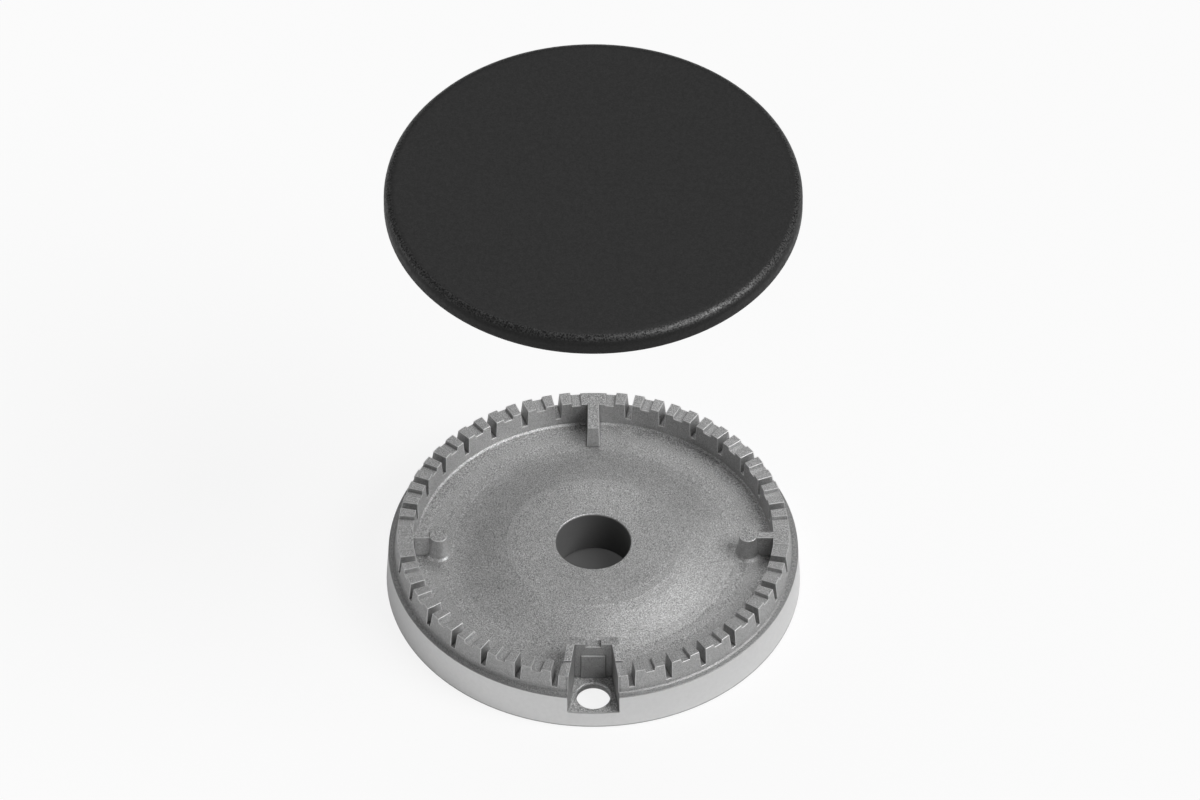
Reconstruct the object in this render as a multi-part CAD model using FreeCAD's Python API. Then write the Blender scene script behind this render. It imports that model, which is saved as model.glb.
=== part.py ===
import FreeCAD, Part
import math
import os

from FreeCAD import Vector

# Gas hob burner set: a die-cast burner head and the loose cap that closes it.
# Millimetres, +Z up, origin at the centre of the skirt's foot, igniter pocket towards -Y.
# The cap is drawn lifted straight off the head by CAP_LIFT.

# Skirt, the turned band that the head stands on
SKIRT_DIAMETER = 100.0
SKIRT_HEIGHT = 9.6
SKIRT_DRAFT = 0.5
SKIRT_WALL = 1.9
SKIRT_FOOT_BEVEL = 0.4
LEDGE_WIDTH = 1.5
LEDGE_RISE = 0.15

# Crown, the ring of flame ports on top of the skirt
CROWN_HEIGHT = 6.15
CROWN_TOP_WIDTH = 3.75
CROWN_OUTER_DRAFT = 0.75
CROWN_INNER_DRAFT = 0.3
CROWN_FOOT_BEVEL = 0.3

# Flame ports, deep slots on a regular pitch with a shallow notch in each tooth between them
PORT_PITCHES = 32
SLOT_TOP_WIDTH = 1.9
SLOT_FLOOR_WIDTH = 1.4
SLOT_DEPTH = 4.6
NOTCH_TOP_WIDTH = 2.55
NOTCH_FLOOR_WIDTH = 2.2
NOTCH_DEPTH = 0.95

# Plain blocks that stand where a slot would be at the back and at the two sides
BLOCK_WIDTH = 5.9
BACK_BLOCK_DROP = 0.45
SIDE_BLOCK_DROP = 0.8

# Bowl floor, with depths below the crown's top
WALL_FOOT_DEPTH = 6.85
WALL_FOOT_BEVEL = 0.45
MOAT_DEPTH = 6.55
MOAT_INSET = 0.9
PLATEAU_WIDTH = 12.0
PLATEAU_DEPTH = 3.1
FLOOR_BLEND = 2.8
FLOOR_BLEND_BANDS = 2
FLOOR_THICKNESS = 2.4

# Mixing tube under the middle of the bowl
TUBE_BORE = 18.0
TUBE_WALL = 2.5
TUBE_END_GAP = 1.0
TUBE_MOUTH_BEVEL = 0.3
TUBE_ROOT_BEVEL = 0.8

# Posts, webs and rib that keep the cap from sliding sideways
LOCATING_INSET = 8.8
STOP_STANDOFF = 0.45
STOP_DROP = 0.45
POST_TOP_WIDTH = 4.2
POST_FOOT_WIDTH = 5.0
POST_STRETCH = 1.1
POST_FOOT_FLARE = 0.45
WEB_TOP_WIDTH = 2.0
WEB_FOOT_WIDTH = 2.4
RIB_TOP_WIDTH = 2.7
RIB_FOOT_WIDTH = 3.2
RIB_END_DRAFT = 0.6

# Igniter pocket in the front of the head
POCKET_BACK_WIDTH = 9.0
POCKET_FRONT_WIDTH = 12.8
POCKET_BACK_WALL = 2.35
POCKET_BACK_DRAFT = 0.75
POCKET_SIDE_WALL = 1.85
POCKET_FLOOR_HEIGHT = 4.7
POCKET_FLOOR_THICKNESS = 1.7
SHOULDER_INSET = 1.3
IGNITER_HOLE = 8.2
IGNITER_HOLE_INSET = 6.2
IGNITER_SINK = 0.3
PILOT_WIDTH = 3.8
PILOT_DEPTH = 1.0
PAD_WIDTH = 5.8
PAD_HEIGHT = 7.0
PAD_RISE = 0.35

# Cap
CAP_OVERHANG = 2.75
CAP_THICKNESS = 5.5
CAP_RIM_ROUND = 2.4
CAP_RIM_BANDS = 4
CAP_FOOT_BEVEL = 0.6
CAP_RING_WIDTH = 2.6
CAP_RING_DEPTH = 3.0
CAP_RING_DRAFT = 0.2
CAP_RING_CLEARANCE = 0.5
CAP_LIFT = 113.0

# Length by which a cutter runs past the face that it cuts
OVERRUN = 2.0
# Most that a bevel or round may take of the side beside it
LEG_SHARE = 0.48

# Heights and radii that follow from the sizes above
LEDGE_TOP = SKIRT_HEIGHT + LEDGE_RISE
HEAD_HEIGHT = SKIRT_HEIGHT + CROWN_HEIGHT
STOP_TOP = HEAD_HEIGHT - STOP_DROP
SIDE_BLOCK_TOP = HEAD_HEIGHT - SIDE_BLOCK_DROP
BACK_BLOCK_TOP = HEAD_HEIGHT - BACK_BLOCK_DROP
NOTCH_FLOOR = HEAD_HEIGHT - NOTCH_DEPTH
SLOT_FLOOR = HEAD_HEIGHT - SLOT_DEPTH
WALL_FOOT = HEAD_HEIGHT - WALL_FOOT_DEPTH
MOAT_FLOOR = HEAD_HEIGHT - MOAT_DEPTH
PLATEAU_TOP = HEAD_HEIGHT - PLATEAU_DEPTH
ROOT_HEIGHT = WALL_FOOT - FLOOR_THICKNESS / 2
PAST_TOP = HEAD_HEIGHT + OVERRUN

SKIRT_RADIUS = SKIRT_DIAMETER / 2
SKIRT_TOP_RADIUS = SKIRT_RADIUS - SKIRT_DRAFT
CROWN_FOOT_RADIUS = SKIRT_TOP_RADIUS - LEDGE_WIDTH
CROWN_TOP_RADIUS = CROWN_FOOT_RADIUS - CROWN_OUTER_DRAFT
BOWL_TOP_RADIUS = CROWN_TOP_RADIUS - CROWN_TOP_WIDTH
BOWL_FOOT_RADIUS = BOWL_TOP_RADIUS - CROWN_INNER_DRAFT
CROWN_MIDDLE_RADIUS = (CROWN_TOP_RADIUS + BOWL_TOP_RADIUS) / 2
PAST_SKIRT = SKIRT_RADIUS + OVERRUN
TUBE_BORE_RADIUS = TUBE_BORE / 2
PLATEAU_RADIUS = TUBE_BORE_RADIUS + PLATEAU_WIDTH
LOCATING_RADIUS = BOWL_FOOT_RADIUS - LOCATING_INSET
MOAT_RADIUS = LOCATING_RADIUS - MOAT_INSET
STOP_RADIUS = LOCATING_RADIUS + STOP_STANDOFF
POST_CIRCLE_RADIUS = STOP_RADIUS + POST_FOOT_WIDTH / 2
POCKET_BACK = LOCATING_RADIUS + POCKET_BACK_WALL
SHOULDER_START = BOWL_TOP_RADIUS - SHOULDER_INSET
IGNITER_HOLE_RADIUS = SKIRT_RADIUS - IGNITER_HOLE_INSET
CAP_RADIUS = CROWN_TOP_RADIUS + CAP_OVERHANG

PORT_PITCH = 360.0 / PORT_PITCHES
SHOULDER_WIDTH = 2 * CROWN_MIDDLE_RADIUS * math.sin(math.radians(PORT_PITCH))
RIGHT, BACK, LEFT, FRONT = 0.0, 90.0, 180.0, 270.0


def polygon_face(points):
    """Plane face through corner points."""
    return Part.Face(Part.makePolygon(points + points[:1]))


def softened(corners, i, setback, bands=1):
    """Points that replace a corner: its round, begun a setback away on both sides, in flat bands."""
    point = corners[i]
    to_last = corners[i - 1] - point
    to_next = corners[(i + 1) % len(corners)] - point
    setback = min(setback, LEG_SHARE * min(to_last.Length, to_next.Length))
    half = to_last.getAngle(to_next) / 2
    to_last.normalize()
    to_next.normalize()
    inward = (to_last + to_next).normalize()
    across = (to_next - to_last).normalize()
    centre = point + inward * (setback / math.cos(half))
    radius = setback * math.tan(half)
    sweep = math.pi / 2 - half
    points = []
    for band in range(bands + 1):
        angle = sweep * (2 * band / bands - 1)
        points.append(centre + (across * math.sin(angle) - inward * math.cos(angle)) * radius)
    return points


def turned(profile):
    """Solid of revolution about Z of (radius, height) corners. A third value sets back a bevel,
    and a fourth makes it a round of that many bands."""
    corners = [Vector(corner[0], 0, corner[1]) for corner in profile]
    points = []
    for i, corner in enumerate(profile):
        points += softened(corners, i, *corner[2:]) if len(corner) > 2 else [corners[i]]
    return polygon_face(points).revolve(Vector(0, 0, 0), Vector(0, 0, 1), 360)


def rectangle(x0, x1, width, z):
    """Corners of a level rectangle from x0 to x1, centred on the X axis."""
    half = width / 2
    return [Vector(x, y, z) for x, y in ((x0, -half), (x1, -half), (x1, half), (x0, half))]


def drafted(foot, top):
    """Solid with plane sides between two level outlines of as many corners."""
    faces = [polygon_face(foot), polygon_face(top)]
    for i in range(len(foot)):
        faces.append(polygon_face([foot[i - 1], foot[i], top[i], top[i - 1]]))
    return Part.makeSolid(Part.makeShell(faces))


def turn(shape, angle):
    """Copy of a shape turned about Z, in degrees."""
    copy = shape.copy()
    copy.rotate(Vector(0, 0, 0), Vector(0, 0, 1), angle)
    return copy


def groove_tool(floor_width, top_width, floor):
    """Radial cutter along +X that widens from its floor to the crown's top and on past it."""
    reach = (BOWL_FOOT_RADIUS - OVERRUN, PAST_SKIRT)
    past_width = top_width + (top_width - floor_width) * OVERRUN / (HEAD_HEIGHT - floor)
    return drafted(rectangle(*reach, floor_width, floor), rectangle(*reach, past_width, PAST_TOP))


def shell():
    """Turned body of the head: skirt, ledge, plain crown, bowl floor and mixing tube."""
    underside = SKIRT_HEIGHT - FLOOR_THICKNESS
    skirt_bore = SKIRT_RADIUS - SKIRT_WALL
    tube_outer = TUBE_BORE_RADIUS + TUBE_WALL
    return turned([
        (TUBE_BORE_RADIUS, PLATEAU_TOP, TUBE_MOUTH_BEVEL),
        (PLATEAU_RADIUS, PLATEAU_TOP, FLOOR_BLEND, FLOOR_BLEND_BANDS),
        (MOAT_RADIUS, MOAT_FLOOR, FLOOR_BLEND, FLOOR_BLEND_BANDS),
        (BOWL_FOOT_RADIUS, WALL_FOOT, WALL_FOOT_BEVEL),
        (BOWL_TOP_RADIUS, HEAD_HEIGHT),
        (CROWN_TOP_RADIUS, HEAD_HEIGHT),
        (CROWN_FOOT_RADIUS, LEDGE_TOP, CROWN_FOOT_BEVEL),
        (SKIRT_TOP_RADIUS, SKIRT_HEIGHT),
        (SKIRT_RADIUS, 0, SKIRT_FOOT_BEVEL),
        (skirt_bore, 0),
        (skirt_bore, underside),
        (BOWL_FOOT_RADIUS, WALL_FOOT - FLOOR_THICKNESS),
        (MOAT_RADIUS, MOAT_FLOOR - FLOOR_THICKNESS),
        (PLATEAU_RADIUS, PLATEAU_TOP - FLOOR_THICKNESS),
        (tube_outer, PLATEAU_TOP - FLOOR_THICKNESS, TUBE_ROOT_BEVEL),
        (tube_outer, TUBE_END_GAP),
        (TUBE_BORE_RADIUS, TUBE_END_GAP),
    ])


def envelope():
    """Filled outer form of skirt and crown, which the pocket's walls don't pass."""
    return turned([
        (0, 0),
        (SKIRT_RADIUS, 0, SKIRT_FOOT_BEVEL),
        (SKIRT_TOP_RADIUS, SKIRT_HEIGHT),
        (CROWN_FOOT_RADIUS, LEDGE_TOP, CROWN_FOOT_BEVEL),
        (CROWN_TOP_RADIUS, HEAD_HEIGHT),
        (0, HEAD_HEIGHT),
    ])


def lowering_tool(inner, width, floor, angle):
    """Cutter that lowers the crown over one stretch, from a radius outwards."""
    foot = rectangle(inner, PAST_SKIRT, width, floor)
    return turn(drafted(foot, rectangle(inner, PAST_SKIRT, width, PAST_TOP)), angle)


def port_tools():
    """Cutters for the deep slots, the shallow notches and the lowered blocks."""
    slot = groove_tool(SLOT_FLOOR_WIDTH, SLOT_TOP_WIDTH, SLOT_FLOOR)
    notch = groove_tool(NOTCH_FLOOR_WIDTH, NOTCH_TOP_WIDTH, NOTCH_FLOOR)
    quarter = PORT_PITCHES // 4
    slots = [turn(slot, i * PORT_PITCH) for i in range(PORT_PITCHES) if i % quarter]
    teeth = [i for i in range(PORT_PITCHES) if i % quarter not in (0, quarter - 1)]
    notches = [turn(notch, (i + 0.5) * PORT_PITCH) for i in teeth]
    block_span = BLOCK_WIDTH + NOTCH_TOP_WIDTH
    beside = math.degrees(block_span / 2 / CROWN_MIDDLE_RADIUS)
    inner = BOWL_FOOT_RADIUS - OVERRUN
    blocks = []
    for angle, top in ((RIGHT, SIDE_BLOCK_TOP), (BACK, BACK_BLOCK_TOP), (LEFT, SIDE_BLOCK_TOP)):
        notches += [turn(notch, angle - beside), turn(notch, angle + beside)]
        blocks.append(lowering_tool(inner, block_span, top, angle))
    return slots + notches + blocks + [lowering_tool(inner, SHOULDER_WIDTH, NOTCH_FLOOR, FRONT)]


def post():
    """Drafted post with a flared foot, round at both ends and stretched along Y."""
    foot = POST_FOOT_WIDTH / 2
    flare_top = MOAT_FLOOR + POST_FOOT_FLARE
    levels = [
        (foot + flare_top - ROOT_HEIGHT, ROOT_HEIGHT),
        (foot, flare_top),
        (POST_TOP_WIDTH / 2, STOP_TOP),
    ]
    pieces = []
    for side in (-1, 1):
        end = turned([(0, ROOT_HEIGHT)] + levels + [(0, STOP_TOP)])
        end.translate(Vector(0, side * POST_STRETCH / 2, 0))
        pieces.append(end)
    for (low, z0), (high, z1) in zip(levels, levels[1:]):
        outline = rectangle(-low, low, POST_STRETCH, z0)
        pieces.append(drafted(outline, rectangle(-high, high, POST_STRETCH, z1)))
    return pieces[0].fuse(pieces[1:])


def post_with_web(angle):
    """Post tied to the crown by a thin web, which ends a little below its top."""
    pin = post()
    pin.translate(Vector(POST_CIRCLE_RADIUS, 0, 0))
    reach = (POST_CIRCLE_RADIUS, CROWN_MIDDLE_RADIUS)
    web_foot = rectangle(*reach, WEB_FOOT_WIDTH, ROOT_HEIGHT)
    web = drafted(web_foot, rectangle(*reach, WEB_TOP_WIDTH, SIDE_BLOCK_TOP))
    return turn(pin.fuse(web), angle)


def rib(angle):
    """Drafted rib that runs in from the back of the crown to the posts' circle."""
    foot = rectangle(STOP_RADIUS, CROWN_MIDDLE_RADIUS, RIB_FOOT_WIDTH, ROOT_HEIGHT)
    top_end = STOP_RADIUS + RIB_END_DRAFT
    top = rectangle(top_end, CROWN_MIDDLE_RADIUS, RIB_TOP_WIDTH, STOP_TOP)
    return turn(drafted(foot, top), angle)


def pocket_outline(back, wall, z):
    """Level outline that widens from its back to the front of the head; wall adds to each side."""
    flare = (POCKET_FRONT_WIDTH - POCKET_BACK_WIDTH) / 2 / (SKIRT_RADIUS - POCKET_BACK)
    corners = []
    for distance in (back, PAST_SKIRT):
        half = POCKET_BACK_WIDTH / 2 + flare * (distance - POCKET_BACK) + wall
        corners.append((half, -distance))
    return [Vector(x, y, z) for x, y in corners + [(-x, y) for x, y in reversed(corners)]]


def pocket_walls():
    """Side walls, back wall and floor of the igniter pocket, before the pocket is cut."""
    foot = pocket_outline(LOCATING_RADIUS, POCKET_SIDE_WALL, POCKET_FLOOR_HEIGHT - POCKET_FLOOR_THICKNESS)
    top = pocket_outline(LOCATING_RADIUS, POCKET_SIDE_WALL, STOP_TOP)
    walls = drafted(foot, top).common(envelope())
    return walls.cut(lowering_tool(SHOULDER_START, SHOULDER_WIDTH, NOTCH_FLOOR, FRONT))


def pocket_tools():
    """Cutters for the pocket, its igniter hole and the pilot port. A pad is left on the back wall."""
    steep = POCKET_BACK_DRAFT / (STOP_TOP - POCKET_FLOOR_HEIGHT)
    back_foot = POCKET_BACK + POCKET_BACK_DRAFT
    foot = pocket_outline(back_foot, 0, POCKET_FLOOR_HEIGHT)
    past_back = POCKET_BACK - steep * (PAST_TOP - STOP_TOP)
    pocket = drafted(foot, pocket_outline(past_back, 0, PAST_TOP))
    pad_foot = back_foot + PAD_RISE
    pad_head = pad_foot - steep * PAD_HEIGHT
    pad = drafted(
        rectangle(pad_foot - OVERRUN, pad_foot, PAD_WIDTH, POCKET_FLOOR_HEIGHT),
        rectangle(pad_head - OVERRUN, pad_head, PAD_WIDTH, POCKET_FLOOR_HEIGHT + PAD_HEIGHT),
    )
    hole = turned([
        (0, -OVERRUN),
        (IGNITER_HOLE / 2, -OVERRUN),
        (IGNITER_HOLE / 2, POCKET_FLOOR_HEIGHT - IGNITER_SINK),
        (IGNITER_HOLE / 2 + IGNITER_SINK, POCKET_FLOOR_HEIGHT),
        (IGNITER_HOLE / 2 + IGNITER_SINK, PAST_TOP),
        (0, PAST_TOP),
    ])
    hole.translate(Vector(0, -IGNITER_HOLE_RADIUS, 0))
    reach = (LOCATING_RADIUS - OVERRUN, POCKET_BACK + OVERRUN)
    pilot_foot = rectangle(*reach, PILOT_WIDTH, STOP_TOP - PILOT_DEPTH)
    pilot = drafted(pilot_foot, rectangle(*reach, PILOT_WIDTH, PAST_TOP))
    return [pocket.cut(turn(pad, FRONT)), hole, turn(pilot, FRONT)]


def burner_head():
    """Die-cast burner head, one casting."""
    crown = shell().cut(port_tools())
    inner = [post_with_web(LEFT), post_with_web(RIGHT), rib(BACK), pocket_walls()]
    return crown.fuse(inner).cut(pocket_tools()).removeSplitter()


def burner_cap():
    """Cap with a rounded rim and a centring ring that drops inside the posts, rib and pocket."""
    seat = HEAD_HEIGHT + CAP_LIFT
    ring_outer = LOCATING_RADIUS - CAP_RING_CLEARANCE
    ring_inner = ring_outer - CAP_RING_WIDTH
    ring_foot = seat - CAP_RING_DEPTH
    return turned([
        (0, seat + CAP_THICKNESS),
        (CAP_RADIUS, seat + CAP_THICKNESS, CAP_RIM_ROUND, CAP_RIM_BANDS),
        (CAP_RADIUS, seat, CAP_FOOT_BEVEL),
        (ring_outer, seat),
        (ring_outer - CAP_RING_DRAFT, ring_foot),
        (ring_inner + CAP_RING_DRAFT, ring_foot),
        (ring_inner, seat),
        (0, seat),
    ])


def main():
    os.makedirs("parts", exist_ok=True)
    for name, shape in (("burner_head", burner_head()), ("burner_cap", burner_cap())):
        (solid,) = shape.Solids
        print(name, "valid" if solid.isValid() else "not valid", round(solid.Volume), "mm3")
        solid.exportStep(f"parts/{name}.step")


main()
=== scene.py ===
import math

import bpy
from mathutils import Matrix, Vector


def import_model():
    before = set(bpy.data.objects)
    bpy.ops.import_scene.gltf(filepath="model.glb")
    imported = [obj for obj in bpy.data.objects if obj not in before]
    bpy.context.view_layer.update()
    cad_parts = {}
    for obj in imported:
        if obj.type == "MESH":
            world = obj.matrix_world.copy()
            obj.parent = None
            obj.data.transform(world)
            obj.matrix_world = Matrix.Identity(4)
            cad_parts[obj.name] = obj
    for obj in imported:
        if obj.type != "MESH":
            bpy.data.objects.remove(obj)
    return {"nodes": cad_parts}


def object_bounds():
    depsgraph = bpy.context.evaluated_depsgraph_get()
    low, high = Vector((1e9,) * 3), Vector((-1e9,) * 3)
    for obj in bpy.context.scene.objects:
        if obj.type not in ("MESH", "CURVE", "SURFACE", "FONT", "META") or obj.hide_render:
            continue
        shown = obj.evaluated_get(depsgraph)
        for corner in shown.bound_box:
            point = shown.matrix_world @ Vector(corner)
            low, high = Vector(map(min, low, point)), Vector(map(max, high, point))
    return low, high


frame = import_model()
cad_low, cad_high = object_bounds()

# Camera, in metres and radians, for a frame of 1200 by 800
CAMERA_DISTANCE = 7.0
CAMERA_ELEVATION = math.radians(46.0)
CAMERA_NEAR = 0.1
CAMERA_FAR = 100.0
PIXELS_PER_METRE = 4142.0
FRAME_WIDTH = 1200.0
SENSOR_WIDTH = 36.0
AIM_HEIGHT = 0.01575
AIM_ACROSS = 0.001617
AIM_UP = 0.032

# Room, with lights as azimuth from +X, elevation, strength and spread
FLOOR_SIZE = 60.0
FLOOR_GREY = 0.86
FLOOR_GLOW = 0.86
REFLECTED_SHARE = 0.25
WORLD_STRENGTH = 0.18
LIGHTS = {
    "key": (-20.0, 49.0, 2.38, 40.0),
    "back": (90.0, 60.0, 0.35, 40.0),
    "left": (167.0, 10.0, 0.15, 30.0),
}

# Places on the head, in metres
HEAD_RADIUS = cad_high[0]
SKIRT_RADIUS = HEAD_RADIUS - 0.0007
SKIRT_TOP = 0.00945
SKIRT_SOFTNESS = 0.0001
LEDGE_RADIUS = HEAD_RADIUS - 0.002
LEDGE_TOP = 0.0099
CROWN_RADIUS = HEAD_RADIUS - 0.0035
POCKET_HALF_WIDTH = 0.0068
POCKET_BACK = -0.0365
POCKET_SOFTNESS = 0.0003
BORE_RADIUS = 0.0092

# Areas of the head, each with the place where it fades in and the place from which it is full
SKIRT_OUTSIDE = (SKIRT_RADIUS - SKIRT_SOFTNESS, SKIRT_RADIUS + SKIRT_SOFTNESS)
SKIRT_BELOW = (SKIRT_TOP + SKIRT_SOFTNESS, SKIRT_TOP - SKIRT_SOFTNESS)
LEDGE_OUTSIDE = (LEDGE_RADIUS - 0.0002, LEDGE_RADIUS)
LEDGE_BELOW = (LEDGE_TOP + 0.0003, LEDGE_TOP)
LEDGE_ABOVE = (LEDGE_TOP - 0.0008, LEDGE_TOP - 0.0006)
CROWN_OUTSIDE = (CROWN_RADIUS - 0.001, CROWN_RADIUS)
POCKET_WITHIN = (POCKET_HALF_WIDTH, POCKET_HALF_WIDTH - POCKET_SOFTNESS)
POCKET_FRONT = (POCKET_BACK, POCKET_BACK - POCKET_SOFTNESS)
BORE_INSIDE = (BORE_RADIUS, BORE_RADIUS - 0.0001)
BORE_BELOW = (0.0129, 0.0123)
FOOT_BELOW = (0.0008, 0.0004)

# Painted shade: dark spot on the floor under the bore, in place of the hob's burner cup
SPOT_EDGE = (BORE_RADIUS + 0.004, BORE_RADIUS + 0.005)
SPOT_PAINTED_SHADE_GREY = 0.1
SPOT_PAINTED_SHADE_GLOW = 0.035
GLOW_EDGE = (0.022, 0.024)

# Noise as scale per metre, detail and roughness, and the range in which most of its values lie
CAST_FINE = (5200.0, 2.0, 0.6)
ENAMEL_FINE = (2400.0, 2.0, 0.6)
GRAIN = (900.0, 2.0, 0.5)
CLOUD = (60.0, 3.0, 0.55)
NOISE_RANGE = (0.3, 0.7)
BUMP_STRENGTH = 0.6

# Cast aluminium: greys, shares of grey, roughness and depths in metres
LEVEL_TILT = (0.25, 0.75)
SPECK_RANGE = (0.42, 0.58)
UPRIGHT_SPECK = 0.5
CAST_GREYS = (0.29, 0.79)
LEDGE_GREYS = (0.26, 0.5)
TURNED_GREYS = (0.7, 0.77)
# Painted highlight: grey that convex, worn edges are lightened to
WORN_EDGE_PAINTED_HIGHLIGHT_GREY = 0.82
# Painted shade: grey that creases darken to
CREVICE_PAINTED_SHADE_GREY = 0.3
# Painted shade: grey of the dark band at the foot of the skirt
FOOT_PAINTED_SHADE_GREY = 0.2
# Painted shade: dark grey inside the bore
BORE_PAINTED_SHADE_GREY = 0.14
BLOTCH_SHARES = (0.93, 1.05)
# The crown's upright outer faces are a tenth darker
CROWN_OUTSIDE_SHARE = 0.9
# Painted light on the pocket floor and painted shade on the pocket's upright faces
POCKET_FLOOR_PAINTED_LIGHT = 1.2
POCKET_WALL_PAINTED_SHADE = 0.76
CAST_ROUGHNESS = (0.57, 0.65)
SMOOTH_ROUGHNESS = 0.46
CAST_FINE_SHARE = 0.9
UPRIGHT_DENT = 0.00002
LEVEL_DENT = 0.00006
TURNED_DENT = 0.000004
EDGE_RADIUS = 0.00025
EDGE_SAMPLES = 8
EDGE_WEAR_AND_HIGHLIGHT_REACH = 0.0003
EDGE_WEAR_AND_HIGHLIGHT_RANGE = (0.92, 0.62)
CREVICE_REACH = 0.0008
CREVICE_RANGE = (0.85, 0.5)

# Black enamel: greys, sheen, roughness and depths in metres
ENAMEL_GREYS = (0.008, 0.016)
ENAMEL_RANGE = (0.35, 0.7)
ENAMEL_FINE_SHARE = 0.6
ENAMEL_DENT = 0.00006
ENAMEL_ROUGHNESS = (0.42, 0.54)
RIM_RADIUS = 0.0012
RIM_SAMPLES = 16
SHOULDER_TOP_TILT = (0.99, 0.93)
SHOULDER_SIDE_TILT = (0.4, 0.65)
SHEEN_TILT = (0.2, 0.55)
SHEEN = (0.22, 0.42)
GLINTS = (0.15, 1.25)


def new_material(name):
    material = bpy.data.materials.new(name)
    material.use_nodes = True
    material.node_tree.nodes.clear()
    return material, material.node_tree


def put(tree, kind, inputs=None, **settings):
    """One node: settings are its properties, inputs are constants or sockets by name or number."""
    made = tree.nodes.new(kind)
    for key, value in settings.items():
        setattr(made, key, value)
    for key, value in (inputs or {}).items():
        if isinstance(value, bpy.types.NodeSocket):
            tree.links.new(value, made.inputs[key])
        else:
            made.inputs[key].default_value = value
    return made


def maths(tree, operation, a, b=0.0):
    return put(tree, "ShaderNodeMath", {0: a, 1: b}, operation=operation).outputs[0]


def times(tree, a, b):
    return maths(tree, "MULTIPLY", a, b)


def ramp(tree, value, limits, results=(0.0, 1.0)):
    """Smooth step between the two results as value goes from the first limit to the second."""
    inputs = {"Value": value, "From Min": limits[0], "From Max": limits[1],
              "To Min": results[0], "To Max": results[1]}
    return put(tree, "ShaderNodeMapRange", inputs, interpolation_type="SMOOTHSTEP").outputs[0]


def blend(tree, share, first, second):
    """Number that goes evenly from first to second with share."""
    inputs = {"Value": share, "To Min": first, "To Max": second}
    return put(tree, "ShaderNodeMapRange", inputs).outputs[0]


def noise(tree, place, scale, detail, roughness):
    inputs = {"Vector": place, "Scale": scale, "Detail": detail, "Roughness": roughness}
    return put(tree, "ShaderNodeTexNoise", inputs).outputs["Fac"]


def tint(tree, share, first, second):
    """Colour that goes from first to second with share."""
    made = tree.nodes.new("ShaderNodeMix")
    made.data_type = "RGBA"
    for key, value in (("Factor", share), ("A", first), ("B", second)):
        socket = next(s for s in made.inputs if s.name == key and s.enabled)
        if isinstance(value, bpy.types.NodeSocket):
            tree.links.new(value, socket)
        else:
            socket.default_value = value
    return next(s for s in made.outputs if s.enabled)


def grey(value):
    return (value, value, value, 1.0)


def greys(tree, share, limits):
    return tint(tree, share, grey(limits[0]), grey(limits[1]))


def shaded(tree, colour, share):
    return put(tree, "ShaderNodeVectorMath", {0: colour, 3: share}, operation="SCALE").outputs[0]


def height_of(tree, vector):
    return put(tree, "ShaderNodeSeparateXYZ", {0: vector}).outputs["Z"]


def mixed_dents(tree, fine, grain, fine_share):
    return maths(tree, "ADD", times(tree, fine, fine_share), times(tree, grain, 1.0 - fine_share))


def occlusion(tree, reach, inside):
    """Share of the surroundings that is free, outside the solid or inside it."""
    made = put(tree, "ShaderNodeAmbientOcclusion", {"Distance": reach},
               samples=EDGE_SAMPLES, inside=inside, only_local=True)
    return made.outputs["AO"]


def head_areas(tree, place):
    split = put(tree, "ShaderNodeSeparateXYZ", {0: place}).outputs
    flat = put(tree, "ShaderNodeCombineXYZ", {"X": split["X"], "Y": split["Y"]}).outputs[0]
    radius = put(tree, "ShaderNodeVectorMath", {0: flat}, operation="LENGTH").outputs["Value"]
    sideways = maths(tree, "ABSOLUTE", split["X"])
    height = split["Z"]
    ledge_band = times(tree, ramp(tree, radius, LEDGE_OUTSIDE), ramp(tree, height, LEDGE_BELOW))
    return {
        "skirt": times(tree, ramp(tree, radius, SKIRT_OUTSIDE), ramp(tree, height, SKIRT_BELOW)),
        "ledge": times(tree, ledge_band, ramp(tree, height, LEDGE_ABOVE)),
        "crown outside": ramp(tree, radius, CROWN_OUTSIDE),
        "pocket": times(tree, ramp(tree, sideways, POCKET_WITHIN), ramp(tree, split["Y"], POCKET_FRONT)),
        "bore": times(tree, ramp(tree, radius, BORE_INSIDE), ramp(tree, height, BORE_BELOW)),
        "foot": ramp(tree, height, FOOT_BELOW),
    }


def crown_darkening_and_painted_pocket_light(tree, areas, level):
    """Share of the grey that is left: a tenth less on the crown's upright outer faces, painted shade on the
    igniter pocket's upright faces and painted light on its floor.
    """
    upright = ramp(tree, level, (1.0, 0.0))
    crown_outside = times(tree, areas["crown outside"], upright)
    outer_crown_darkening = ramp(tree, crown_outside, (0.0, 1.0), (1.0, CROWN_OUTSIDE_SHARE))
    pocket_painted_share = ramp(tree, upright, (0.0, 1.0), (POCKET_FLOOR_PAINTED_LIGHT, POCKET_WALL_PAINTED_SHADE))
    pocket_painted_light = ramp(tree, areas["pocket"], (0.0, 1.0), (1.0, pocket_painted_share))
    return times(tree, outer_crown_darkening, pocket_painted_light)


def cast_speck(tree, fine, level):
    """Speckle of the blasted casting, weaker on upright faces."""
    speck = ramp(tree, fine, SPECK_RANGE)
    weak = maths(tree, "ADD", times(tree, speck, UPRIGHT_SPECK), (1.0 - UPRIGHT_SPECK) / 2)
    return blend(tree, level, weak, speck)


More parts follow.
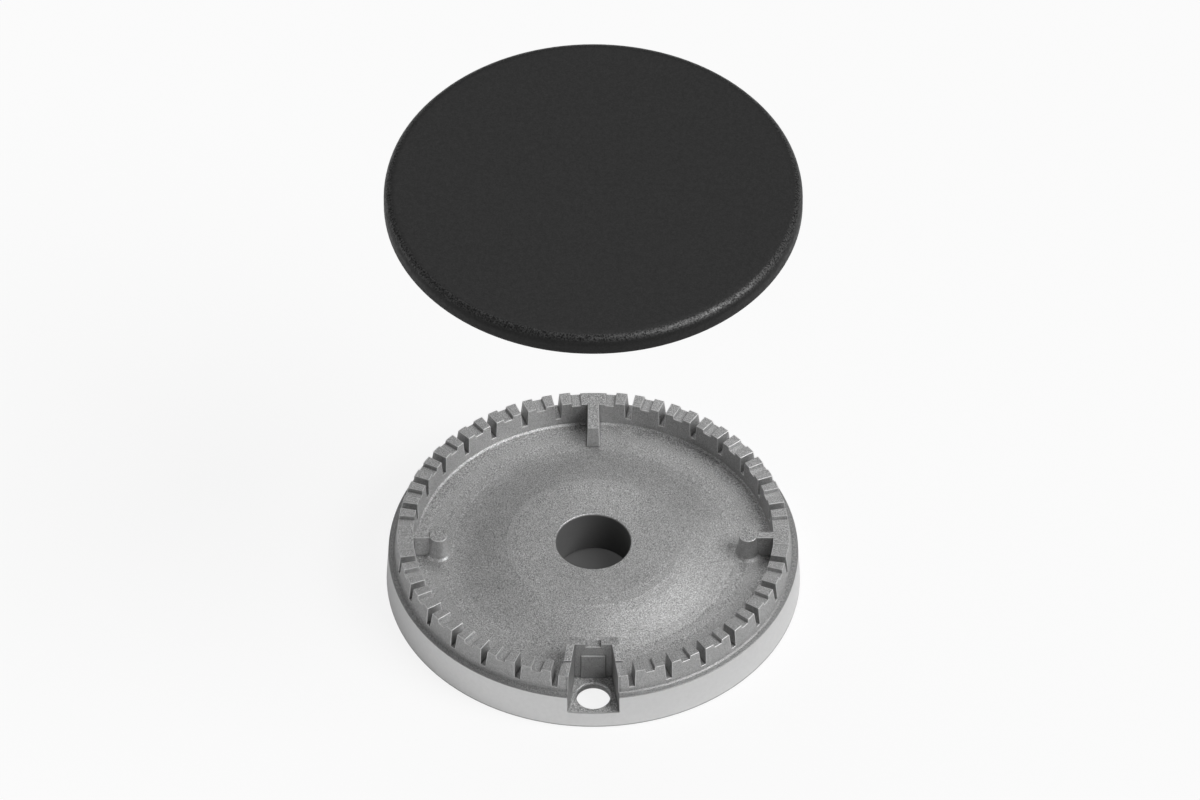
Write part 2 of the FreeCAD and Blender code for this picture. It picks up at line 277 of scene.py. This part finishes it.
def head_colour(tree, place, areas, level, speck, grain, worn_edge_and_highlight):
    blotch = ramp(tree, noise(tree, place, *CLOUD), NOISE_RANGE, BLOTCH_SHARES)
    colour = shaded(tree, greys(tree, speck, CAST_GREYS), blotch)
    # Painted highlight: convex, worn edges are lightened
    colour = tint(tree, worn_edge_and_highlight, colour, grey(WORN_EDGE_PAINTED_HIGHLIGHT_GREY))
    # Painted shade: creases are darkened
    crevice_painted_shade = ramp(tree, occlusion(tree, CREVICE_REACH, inside=False), CREVICE_RANGE)
    colour = tint(tree, crevice_painted_shade, colour, grey(CREVICE_PAINTED_SHADE_GREY))
    # Painted shade on the pocket's upright faces, painted light on its floor, and the crown's upright outer
    # faces a tenth darker
    colour = shaded(tree, colour, crown_darkening_and_painted_pocket_light(tree, areas, level))
    colour = tint(tree, areas["ledge"], colour, greys(tree, speck, LEDGE_GREYS))
    colour = tint(tree, areas["skirt"], colour, greys(tree, grain, TURNED_GREYS))
    # Painted shade: dark band at the foot of the skirt
    colour = tint(tree, areas["foot"], colour, grey(FOOT_PAINTED_SHADE_GREY))
    # Painted shade: the inside of the bore is darkened
    return tint(tree, areas["bore"], colour, grey(BORE_PAINTED_SHADE_GREY))


def head_normal(tree, areas, level, fine, grain):
    """Rounded edges with the casting's dents on them."""
    edge = put(tree, "ShaderNodeBevel", {"Radius": EDGE_RADIUS}, samples=EDGE_SAMPLES).outputs[0]
    cast_depth = blend(tree, level, UPRIGHT_DENT, LEVEL_DENT)
    depth = ramp(tree, areas["skirt"], (0.0, 1.0), (cast_depth, TURNED_DENT))
    dents = mixed_dents(tree, fine, grain, CAST_FINE_SHARE)
    bump = put(tree, "ShaderNodeBump", {
        "Strength": BUMP_STRENGTH, "Distance": depth, "Height": dents, "Normal": edge})
    return bump.outputs[0]


def cast_aluminium():
    material, tree = new_material("cast_aluminium")
    place = put(tree, "ShaderNodeTexCoord").outputs["Object"]
    areas = head_areas(tree, place)
    fine = noise(tree, place, *CAST_FINE)
    grain = noise(tree, place, *GRAIN)
    normal = put(tree, "ShaderNodeNewGeometry").outputs["Normal"]
    level = ramp(tree, height_of(tree, normal), LEVEL_TILT)
    speck = cast_speck(tree, fine, level)
    # Convex edges: smoother, as worn, and lightened as a painted highlight
    worn_edge_and_highlight = ramp(tree, occlusion(tree, EDGE_WEAR_AND_HIGHLIGHT_REACH, inside=True), EDGE_WEAR_AND_HIGHLIGHT_RANGE)

    roughness = ramp(tree, grain, NOISE_RANGE, CAST_ROUGHNESS)
    roughness = blend(tree, worn_edge_and_highlight, roughness, SMOOTH_ROUGHNESS)
    roughness = blend(tree, areas["skirt"], roughness, SMOOTH_ROUGHNESS)
    metal = put(tree, "ShaderNodeBsdfPrincipled", {
        "Base Color": head_colour(tree, place, areas, level, speck, grain, worn_edge_and_highlight),
        "Metallic": ramp(tree, areas["bore"], (0.0, 1.0), (1.0, 0.0)),
        "Roughness": roughness,
        "Normal": head_normal(tree, areas, level, fine, grain)})
    put(tree, "ShaderNodeOutputMaterial", {"Surface": metal.outputs[0]})
    return material


def black_enamel():
    material, tree = new_material("black_enamel")
    place = put(tree, "ShaderNodeTexCoord").outputs["Object"]
    fine = noise(tree, place, *ENAMEL_FINE)
    grain = noise(tree, place, *GRAIN)
    round_rim = put(tree, "ShaderNodeBevel", {"Radius": RIM_RADIUS}, samples=RIM_SAMPLES).outputs[0]
    dents = mixed_dents(tree, fine, grain, ENAMEL_FINE_SHARE)
    bump = put(tree, "ShaderNodeBump", {
        "Strength": BUMP_STRENGTH, "Distance": ENAMEL_DENT, "Height": dents, "Normal": round_rim})

    tilt = height_of(tree, round_rim)
    shoulder = times(tree, ramp(tree, tilt, SHOULDER_TOP_TILT), ramp(tree, tilt, SHOULDER_SIDE_TILT))
    sheen = blend(tree, shoulder, ramp(tree, tilt, SHEEN_TILT, SHEEN), ramp(tree, fine, NOISE_RANGE, GLINTS))
    enamel = put(tree, "ShaderNodeBsdfPrincipled", {
        "Base Color": greys(tree, ramp(tree, fine, ENAMEL_RANGE), ENAMEL_GREYS),
        "Roughness": ramp(tree, grain, NOISE_RANGE, ENAMEL_ROUGHNESS),
        "Specular IOR Level": sheen,
        "Normal": bump.outputs[0]})
    put(tree, "ShaderNodeOutputMaterial", {"Surface": enamel.outputs[0]})
    return material


def floor_white():
    """White to the camera, dimmer to reflections, and with a painted shade spot under the head's bore."""
    material, tree = new_material("floor_white")
    place = put(tree, "ShaderNodeTexCoord").outputs["Object"]
    radius = put(tree, "ShaderNodeVectorMath", {0: place}, operation="LENGTH").outputs["Value"]
    rays = put(tree, "ShaderNodeLightPath").outputs
    reflected = times(tree, rays["Is Glossy Ray"], REFLECTED_SHARE)
    direct = maths(tree, "MAXIMUM", rays["Is Camera Ray"], rays["Is Transmission Ray"])
    seen = maths(tree, "MAXIMUM", direct, reflected)
    share = times(tree, seen, ramp(tree, radius, GLOW_EDGE, (SPOT_PAINTED_SHADE_GLOW, FLOOR_GLOW)))
    # Painted shade: the floor is dark grey under the bore
    colour = greys(tree, ramp(tree, radius, SPOT_EDGE), (SPOT_PAINTED_SHADE_GREY, FLOOR_GREY))
    lit = put(tree, "ShaderNodeBsdfDiffuse", {"Color": colour})
    glow = put(tree, "ShaderNodeEmission", {"Color": grey(1.0), "Strength": 1.0})
    both = put(tree, "ShaderNodeMixShader", {0: share, 1: lit.outputs[0], 2: glow.outputs[0]})
    put(tree, "ShaderNodeOutputMaterial", {"Surface": both.outputs[0]})
    return material


def floor():
    half = FLOOR_SIZE / 2
    mesh = bpy.data.meshes.new("floor")
    corners = [(-half, -half, 0.0), (half, -half, 0.0), (half, half, 0.0), (-half, half, 0.0)]
    mesh.from_pydata(corners, [], [(0, 1, 2, 3)])
    plane = bpy.data.objects.new("floor", mesh)
    mesh.materials.append(floor_white())
    bpy.context.scene.collection.objects.link(plane)


def world():
    """Soft light from all sides, white to the camera."""
    made = bpy.data.worlds.new("studio")
    made.use_nodes = True
    tree = made.node_tree
    tree.nodes.clear()
    seen = put(tree, "ShaderNodeLightPath").outputs["Is Camera Ray"]
    soft = put(tree, "ShaderNodeBackground", {"Color": grey(1.0), "Strength": WORLD_STRENGTH})
    white = put(tree, "ShaderNodeBackground", {"Color": grey(1.0), "Strength": 1.0})
    both = put(tree, "ShaderNodeMixShader", {0: seen, 1: soft.outputs[0], 2: white.outputs[0]})
    put(tree, "ShaderNodeOutputWorld", {"Surface": both.outputs[0]})
    bpy.context.scene.world = made


def light(name, azimuth, elevation, strength, spread):
    data = bpy.data.lights.new(name, "SUN")
    data.energy = strength
    data.angle = math.radians(spread)
    lamp = bpy.data.objects.new(name, data)
    turn = math.radians(azimuth)
    rise = math.radians(elevation)
    level = math.cos(rise)
    towards = Vector((math.cos(turn) * level, math.sin(turn) * level, math.sin(rise)))
    lamp.location = towards
    lamp.rotation_euler = towards.to_track_quat("Z", "Y").to_euler()
    bpy.context.scene.collection.objects.link(lamp)


def camera():
    data = bpy.data.cameras.new("camera")
    data.sensor_width = SENSOR_WIDTH
    data.lens = SENSOR_WIDTH * CAMERA_DISTANCE * PIXELS_PER_METRE / FRAME_WIDTH
    data.clip_start = CAMERA_NEAR
    data.clip_end = CAMERA_FAR
    made = bpy.data.objects.new("camera", data)
    up = Vector((0.0, math.sin(CAMERA_ELEVATION), math.cos(CAMERA_ELEVATION)))
    back = Vector((0.0, -math.cos(CAMERA_ELEVATION), math.sin(CAMERA_ELEVATION)))
    aim = Vector((AIM_ACROSS, 0.0, AIM_HEIGHT)) + AIM_UP * up
    made.location = aim + CAMERA_DISTANCE * back
    made.rotation_euler = (math.pi / 2 - CAMERA_ELEVATION, 0.0, 0.0)
    bpy.context.scene.collection.objects.link(made)
    bpy.context.scene.camera = made


def dress(name, material):
    node = frame["nodes"][name]
    node.data.materials.clear()
    node.data.materials.append(material)


dress("burner_head", cast_aluminium())
dress("burner_cap", black_enamel())
floor()
world()
for light_name, setting in LIGHTS.items():
    light(light_name, *setting)
camera()
bpy.context.scene.view_settings.view_transform = "Standard"
